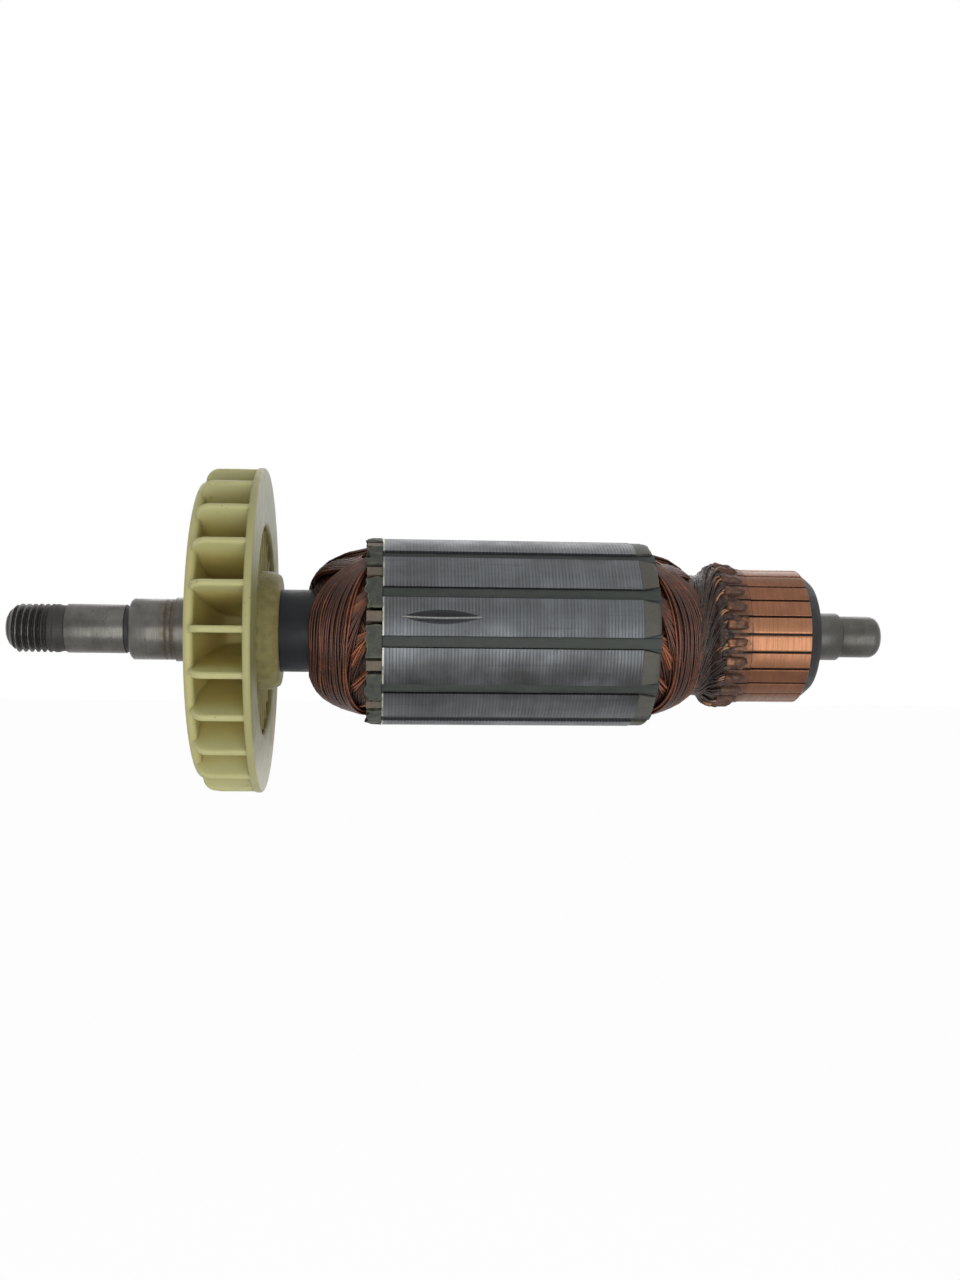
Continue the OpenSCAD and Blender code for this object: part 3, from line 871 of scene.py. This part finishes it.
def tubes(paths, radius, sides, closed):  # round wires along paths with the same number of points each
    paths = np.asarray(paths, float)
    if closed:
        ahead = np.roll(paths, -1, axis=1)
        back = np.roll(paths, 1, axis=1)
    else:
        ahead = np.concatenate([paths[:, 1:], paths[:, -1:]], axis=1)
        back = np.concatenate([paths[:, :1], paths[:, :-1]], axis=1)
    run = ahead - back
    run /= np.linalg.norm(run, axis=2, keepdims=True) + 1e-12
    out = paths.copy()
    out[:, :, 0] = 0
    out /= np.linalg.norm(out, axis=2, keepdims=True) + 1e-12
    side = np.cross(run, out)
    side /= np.linalg.norm(side, axis=2, keepdims=True) + 1e-9
    top = np.cross(side, run)
    angles = np.arange(sides) * 2 * math.pi / sides
    ring = (side[:, :, None, :] * np.cos(angles)[None, None, :, None]
            + top[:, :, None, :] * np.sin(angles)[None, None, :, None])
    points = paths[:, :, None, :] + ring * radius
    count, length = paths.shape[:2]
    pattern = ringFaces(length, sides, closed=closed)
    if not closed:
        pattern += endFaces(length, sides)
    faces = []
    for i in range(count):
        base = i * length * sides
        faces += [tuple(base + v for v in face) for face in pattern]
    return points.reshape(-1, 3), faces


def makeWires(name, paths, tones, look, closed, finish, slotName, nodes=()):
    points, faces = tubes(paths, look["wire"] / 2, look["sides"], closed)
    tone = np.repeat(np.array(tones).ravel(), look["sides"])
    makePiece(name, points, faces, finish, slotName, nodes, {"tone": tone}, crease=0)


def coilAngle(i):  # middle of a coil; each layer is one slot on from the one below
    return coil["firstMiddle"] + slotPitch * ((i - 1) % 6) + (180 if i > 6 else 0)


def bulge(c, layer, angle, phi):  # the heads stand out at the top and bottom, clear of the shaft
    a = math.radians(angle)
    upright = abs(math.sin(a)) ** 3 * smooth(0.25, 0.8, math.cos(phi))
    return upright * (c["swell"] + (0.7 * smooth(0.5, 0.85, phi) if layer == 4 else 0))


def endTurn(c, layer, row, t, mid, stray, lift):  # one strand round one end of the core
    top = c["reach"] - (5 - layer) * coil["layer"] - 0.05
    ball = top - (coil["rows"] - 0.5 - row) * coil["layer"] / coil["rows"] + lift
    low = c["ring"] if layer == 5 and mid < 0 else coil["innerRing"]
    high = min(top * 0.905, ball * 0.93)
    inner = math.asin(min(low / ball, 0.98))
    outer = math.asin(min(high / ball, 0.98))
    end = math.asin(min(math.sqrt(ball * ball - 4) / ball, 0.999))
    squeeze = 1 - (t - 0.5) * 0.15
    turn = []
    for s in range(coil["steps"] + 1):
        u = -1 + 2 * s / coil["steps"]
        place = t + stray[2] * math.sin(stray[0] + stray[1] * 3 * u) * (1 - u * u)
        middle = inner + (outer - inner) * min(max(place, 0.01), 0.99)
        a = middle + (end - middle) * abs(u) ** (4.6 - 2.4 * place)
        turned = mid + coil["halfTurn"] * u * squeeze
        full = ball + bulge(c, layer, turned, a)
        turn.append((c["centre"] + c["out"] * full * math.cos(a), full * math.sin(a), turned))
    return turn


def slotRun(a, b, mid, t, strand, upper):  # the same strand along a slot
    lo, hi = (11.35, 12.85) if upper else (9.4, 10.85)
    r = lo + (hi - lo) * (strand % 7 + 0.5) / 7
    room = max(slotHalf(r) - 0.58, 0.1)
    centre = (a[2] + b[2]) / 2
    slot = round((centre - paper["firstSlot"]) / slotPitch) * slotPitch + paper["firstSlot"]
    offset = math.degrees((t - 0.5) * 2 * room / r) * (1 if centre > mid else -1)
    return [(x, r, slot - offset) for x in (coreStart + 2.4, (coreStart + coreEnd) / 2, coreEnd - 1.6)]


def coilStrands(i, rng):
    layer = (i - 1) % 6
    mid = coilAngle(i)
    steps = coil["steps"]
    paths = []
    tones = []
    for row in range(coil["rows"]):
        for col in range(coil["columns"]):
            t = (col + 0.5) / coil["columns"]
            stray = [rng.uniform(0, 6.28), rng.uniform(0.6, 1.5),
                     rng.uniform(0.2, 1) * coil["wander"] / coil["columns"]]
            lift = rng.uniform(-0.06, 0.04)
            front = endTurn(heads["front"], layer, row, t, mid, stray, lift)
            rear = endTurn(heads["rear"], layer, row, t, mid, stray, lift)
            strand = col * 5 + row * 3
            path = front + slotRun(front[-1], rear[-1], mid, t, strand, layer > 0)
            path += rear[::-1] + slotRun(front[0], rear[0], mid, t, strand, layer == 5)[::-1]
            # the inner layers, under the outer coils, are painted darker: painted shade
            tone = rng.uniform(0.36, 0.52) + (0.16 if rng.random() > 0.88 else 0) - (0.08 if layer < 4 else 0)
            brightExit = layer in (2, 3) and rng.random() > 0.3
            bright = 0.45 if brightExit else 0.0  # where it leaves a slot
            along = [tone + bright * smooth(0.8, 1, abs(-1 + 2 * s / steps)) for s in range(steps + 1)]
            paths.append([around(*p) for p in path])
            tones.append(along + [tone] * 3 + along[::-1] + [tone] * 3)
    return paths, tones


def windCoils():
    finish = wireFinish("enamelledWire")
    for i in range(1, slotCount + 1):
        paths, tones = coilStrands(i, random.Random(40 + i))
        makeWires("coilWire%d" % i, paths, tones, coil, True, finish, "enamelled_wire", ["coil_%d" % i])


def slotExits():  # inner wires where they leave the slots, coloured brighter than the rest
    rng = random.Random(5)
    paths = []
    tones = []
    for slot in range(slotCount):
        angle = paper["firstSlot"] + slotPitch * slot
        for _ in range(coil["exits"]):
            r = rng.uniform(11.0, 12.9)
            turn = rng.uniform(13, 24)
            start = angle - rng.uniform(-5, 4)
            for c in heads.values():
                face = frontFace if c["out"] < 0 else rearFace
                path = []
                for s in range(9):
                    v = s / 8
                    x = face + c["out"] * (2.7 * v - 0.4)
                    path.append(around(x, r - 0.6 * v * v, start - turn * v ** 1.3))
                paths.append(path)
                tones.append([rng.uniform(0.7, 1.15)] * 9)
    makeWires("slotExits", paths, tones, coil, False, wireFinish("brightExitWire"), "enamelled_wire")


def shadeFillFinish():
    f = Finish("windingShadeFill", rough=0.6, shine=0.25)
    cloudy = f.cloud(0.8, 4)
    wound = f.add("ShaderNodeCombineXYZ")  # lines that run round the shaft, as the wires do
    f.link(f.calc("MULTIPLY_ADD", cloudy, 0.5, f.both(f.along, 2.2 / mm)), wound.inputs[0])
    f.link(f.both(f.radius(), 2.2 / mm), wound.inputs[1])
    lines = f.cloud(1, 1, wound.outputs[0])
    f.paint(colour=f.ramp(lines, (0.36, coil["fillDark"]), (0.5, coil["fillBrown"]),
                          (0.66, coil["fillLight"])),
            rough=f.mottle(cloudy, 0.4, 0.7))
    f.relief(lines, 0.5, strength=0.8)
    return f


def fillHeads():  # dark shells standing for wire and lacing under the outer coils, coloured as painted shade where no light reaches
    finish = shadeFillFinish()
    sides = 180
    rings = 16
    foot = tubeRadius + 0.02
    for name, c in heads.items():
        points = []
        for i in range(rings):
            s = i / (rings - 1)
            for j in range(sides):
                a = 360 * j / sides
                swell = abs(math.sin(math.radians(a))) ** 1.6  # fuller between the last slots
                ball = c["reach"] - 3.0 + 1.75 * swell
                start = math.asin(foot / ball)
                end = math.acos(1.95 / ball)
                phi = start + (end - start) * s
                ball += noise.noise(Vector(around(i, 9, a)) * 0.5) * 0.25
                r = max(ball * math.sin(phi), foot)
                points.append(around(c["centre"] + c["out"] * ball * math.cos(phi), r, a))
        makePiece(name + "HeadFill", points, ringFaces(rings, sides), finish, "varnished_leads", crease=0)


windCoils()
slotExits()
fillHeads()
print("coils wound")

bar = {
    "copper": tint(117, 78, 59),
    "shade": tint(93, 61, 47),
    "pale": tint(180, 129, 95),
    "brown": tint(74, 53, 43),
    "crustDark": tint(30, 24, 24),
    "crustBrown": tint(88, 62, 49),
    "length": 14.4,
    "radius": 11.2,  # of the brush track
    "foot": 8.7,  # radius of a bar's lower edge
    "hookTop": 12.35,
    "raw": 4.6,  # length that the turning tool left, at the hooks
    "first": 8.5,  # angle of bar 1
    "gap": 0.32,
    "bright": -4,  # angle of the bars with the painted highlight
}

neck = {
    "leads": 150,
    "wire": 0.34,
    "length": 6.2,  # of the bundle, up to the bars
    "sides": 6,
    "dark": tint(38, 31, 30),
    "brown": tint(82, 64, 57),
    "bright": tint(168, 120, 84),
}


def varnishFinish(name, dark, brown):  # old varnish over bundled leads
    f = Finish(name, metal=0.1, shine=0.3)
    uneven = f.calc("SUBTRACT", f.cloud(0.9, 5), 0.5)
    mottled = f.calc("MULTIPLY_ADD", uneven, 0.9, f.painted("tone"))
    base = f.ramp(mottled, (0.1, dark), (0.6, brown), (1, neck["bright"]))
    f.paint(colour=base, rough=f.ramp(f.cloud(0.5, 4), (0.35, 0.22), (0.7, 0.6)))
    f.relief(f.cloud(0.35, 4), 0.12, strength=0.7)
    return f


def neckRadius(x):
    stops = ((barStart - 6, 10.15), (barStart - 2.4, 10.05), (barStart - 1.7, 10.3), (barStart - 0.5, 11.65),
             (barStart + 0.2, 11.85), (barStart + 0.9, 11.6))
    for (x0, r0), (x1, r1) in zip(stops, stops[1:]):
        if x <= x1:
            return r0 + (r1 - r0) * smooth(x0, x1, x)
    return stops[-1][1]


def makeNeck(finish):
    sides = 240
    start = barStart - neck["length"]
    end = barStart - 0.05
    stations = [start + (end - start) * i / 26 for i in range(27)]
    points = []
    tone = []
    for x in stations:
        for j in range(sides):
            a = 360 * j / sides
            p = Vector(around(x, neckRadius(x), a))
            bump = noise.noise(p * 0.9) * 0.2 + noise.noise(p * 2.6) * 0.1
            ridge = 0.06 * math.sin(math.radians(a * 24 - (x - start) * 260 + 60 * noise.noise(p * 0.5)))
            depth = 0.16 + 0.14 * smooth(barStart - 3, barStart - 1, x)
            points.append(around(x, neckRadius(x) - depth + bump + ridge, a))
            tone.append(0.28 + bump)
    points += [around(end, 7, 360 * j / sides) for j in range(sides)]
    tone += [0.1] * sides
    makePiece("leadNeck", points, ringFaces(len(stations) + 1, sides), finish, "varnished_leads",
              ["lead_neck"], {"tone": tone}, crease=0)


def layLeads(finish):  # each winds round the neck and straightens towards its hook
    rng = random.Random(7)
    start = barStart - neck["length"]
    steps = 16
    paths = []
    tones = []
    for i in range(neck["leads"]):
        end = bar["first"] + barPitch * (i % barCount) + rng.uniform(-4, 4)
        swing = rng.uniform(120, 200)
        lift = rng.uniform(-0.25, -0.03)
        far = barStart + rng.uniform(0.0, 0.9)
        bright = 0.75 if rng.random() > 0.72 else 0.0
        shade = rng.uniform(0.15, 0.5)
        path = []
        tone = []
        for s in range(steps + 1):
            v = s / steps
            x = start + (far - start) * v ** 0.85
            r = neckRadius(x) + lift + 0.03 * math.sin(9 * v + i)
            path.append(around(x, r + 0.12 * smooth(0.6, 0.9, v), end - swing * (1 - v) ** 2.3))
            tone.append(shade + bright * smooth(0.74, 0.86, v))
        paths.append(path)
        tones.append(tone)
    makeWires("leadWires", paths, tones, neck, False, finish, "varnished_leads")


leadVarnish = varnishFinish("leadVarnish", neck["dark"], neck["brown"])
makeNeck(leadVarnish)
layLeads(leadVarnish)
print("leads laid and varnished")


def copperFinish():
    f = Finish("commutatorCopper")
    tone = f.painted("tone")
    crust = f.painted("crust")
    rings = f.cloud(1, 3, f.stretched(7, 0.15, 0.15), 0.7)
    patches = f.ramp(f.cloud(2.6, 4), (0.35, 0.0), (0.7, 0.8))
    base = f.blend(patches, bar["copper"], bar["shade"])
    # painted highlight: bars facing the light are painted paler
    base = f.blend(f.both(tone, 0.75), base, bar["pale"])
    base = f.blend(f.ramp(rings, (0.45, 0.0), (0.65, 0.35)), base, bar["shade"])
    dirt = f.calc("MULTIPLY_ADD", f.calc("SUBTRACT", f.cloud(0.8, 4), 0.46), 0.9, crust)
    soiled = f.ramp(dirt, (0.3, 0.0), (0.72, 0.95))
    base = f.blend(soiled, base, bar["brown"])
    f.paint(colour=base, rough=f.ramp(f.calc("ADD", rings, crust), (0.4, 0.26), (1.2, 0.5)),
            metal=f.ramp(dirt, (0.3, 0.95), (0.9, 0.4)))
    f.relief(rings, 0.02, strength=0.5)
    return f


def barBody(centre):
    start = barStart
    end = barStart + bar["length"]
    raw = barStart + bar["raw"]
    track = bar["radius"]
    reach = math.tan(math.radians(barPitch / 2))
    cosine = math.cos(math.radians(barPitch / 2))
    stations = [
        (start, track, 0.9), (start + 0.1, track + 0.1, 0.8), (start + 2, track + 0.12, 0.62),
        (raw - 1.2, track + 0.12, 0.52), (raw - 0.1, track + 0.12, 0.36), (raw, track, 0.42),
        (raw + 0.25, track, 0.2), (raw + 0.9, track, 0.08), (raw + 4, track, 0.02), (end - 0.6, track, 0.05),
        (end - 0.08, track, 0.15), (end, track - 0.08, 0.3)]
    points = []
    crust = []
    for x, r, dirt in stations:  # the side walls, their rounded edges and five points over the top
        row = [(rr, -(rr * cosine * reach - bar["gap"] / 2 - edge))
               for rr, edge in ((bar["foot"], 0), (r - 0.1, 0), (r - 0.03, 0.03), (r, 0.08))]
        top = r * cosine * reach - bar["gap"] / 2 - 0.08
        middle = [(r, v * top) for v in (-0.8, -0.4, 0, 0.4, 0.8)]
        for rr, side in row + middle + [(rr, -side) for rr, side in row[::-1]]:
            angle = math.degrees(centre + math.asin(side / rr))
            points.append(around(x, rr, angle))
            crust.append(dirt + (0.3 if rr < r - 0.08 else 0) + (0.1 if abs(side) > top * 0.95 else 0))
    per = len(points) // len(stations)
    return points, ringFaces(len(stations), per) + endFaces(len(stations), per), crust


hookProfile = [  # distance from the bar's end and height over it: bend, pressed dip, flattened tip
    (0.1, 0.05), (0.14, 0.45), (0.35, 0.82), (0.65, 1.04), (1.0, 1.06), (1.35, 0.96), (1.65, 0.86),
    (1.9, 0.82), (2.2, 0.84), (2.6, 0.84), (3.0, 0.76), (3.35, 0.58), (3.65, 0.34), (3.9, 0.06), (3.95, -0.1)]


def barHighlight(centre):  # 1 on the brightest bars: a painted highlight on the bars that face the light
    away = (math.degrees(centre) - bar["bright"] + 180) % 360 - 180
    return math.exp(-(away / 22) ** 2)


def hookBody(base, centre, rng):  # the tab that is folded back and pressed over the lead
    across = 11
    tilt = rng.uniform(-0.07, 0.07)
    size = rng.uniform(0.92, 1.04)
    full = rng.uniform(0.85, 1.1)
    # hooks on the highlighted bars carry less crust: partly wear, partly painted highlight
    rubbed = 0.5 + 0.6 * barHighlight(centre)
    points = []
    crust = []
    for dx, lift in hookProfile:
        half = (0.9 - 0.03 * dx - 0.3 * smooth(2.9, 3.95, dx)) * size * (0.78 if dx < 0.3 else 1)
        for j in range(across):
            v = -1 + 2 * j / (across - 1)
            edge = max(0.0, 1 - abs(v) ** 2.8) ** 0.5
            high = lift * (full if dx < 1.6 else 1) * edge
            side = math.copysign(abs(v) ** 0.8, v) * half + tilt * dx
            rough = noise.noise(Vector((dx * 1.5, side * 1.7, base * 0.37 + centre * 5))) * 0.3
            r = min(bar["radius"] + high + rough * edge, bar["hookTop"])
            points.append(around(barStart + dx, r, math.degrees(centre + side / r)))
            worn = edge * (1 if 0.4 < dx < 1.5 else (0.6 if 2.0 < dx < 3.2 else 0.3))
            crust.append(0.8 - 0.4 * worn * rubbed + rng.uniform(-0.05, 0.05))
    faces = [tuple(base + v for v in f) for f in ringFaces(len(hookProfile), across, wrap=False)]
    return points, faces, crust


def makeBars():
    finish = copperFinish()
    rng = random.Random(11)
    for i in range(barCount):
        centre = math.radians(bar["first"] + barPitch * i)
        points, faces, crust = barBody(centre)
        more, moreFaces, moreCrust = hookBody(len(points), centre, rng)
        points += more
        faces += moreFaces
        crust += moreCrust
        # the tone carries the painted highlight and a random spread
        tone = [0.1 + 0.65 * barHighlight(centre) + rng.uniform(-0.1, 0.15)] * len(points)
        makePiece("copperBar%d" % (i + 1), points, faces, finish, "commutator_copper", ["bar_%d" % (i + 1)],
                  {"tone": tone, "crust": crust}, crease=40)


def makeCrust():  # varnish that has run between the hooks
    finish = varnishFinish("hookVarnish", bar["crustDark"], bar["crustBrown"])
    sides = 480
    stations = [barStart - 0.4 + 4.3 * i / 26 for i in range(27)]
    points = []
    tone = []
    for i, x in enumerate(stations):
        s = i / 26
        for j in range(sides):
            a = 360 * j / sides
            p = Vector(around(x, 11.5, a))
            turns = (a - bar["first"]) / barPitch
            between = abs((turns + 0.5) % 1 - 0.5) * 2  # 0 on a hook, 1 between two
            uneven = noise.noise(p * 1.1) * 0.3 + noise.noise(p * 3) * 0.14
            r = 11.62 - 0.72 * s ** 1.3 + uneven - 0.15 * (1 - between)
            points.append(around(x, min(r, 12.2) if i else 11.0, a))
            tone.append(0.22 + noise.noise(p * 0.8) * 0.4 + 0.25 * s)
    makePiece("hookVarnishRing", points, ringFaces(len(stations), sides), finish, "varnished_leads", (),
              {"tone": tone}, crease=0)


hub = {
    "light": tint(30, 29, 32),
    "dark": tint(12, 13, 16),
}


def dressHub():
    f = Finish("blackMoulding", shine=0.25)
    cloudy = f.cloud(1.5, 4)
    f.paint(colour=f.mottle(cloudy, hub["dark"], hub["light"]),
            rough=f.mottle(cloudy, 0.35, 0.6))
    f.relief(f.cloud(0.4, 3), 0.03, edge=0.25, strength=0.5)
    dress("commutator_hub", f)


makeBars()
makeCrust()
dressHub()
print("commutator made")

bpy.context.scene.view_settings.view_transform = "Standard"
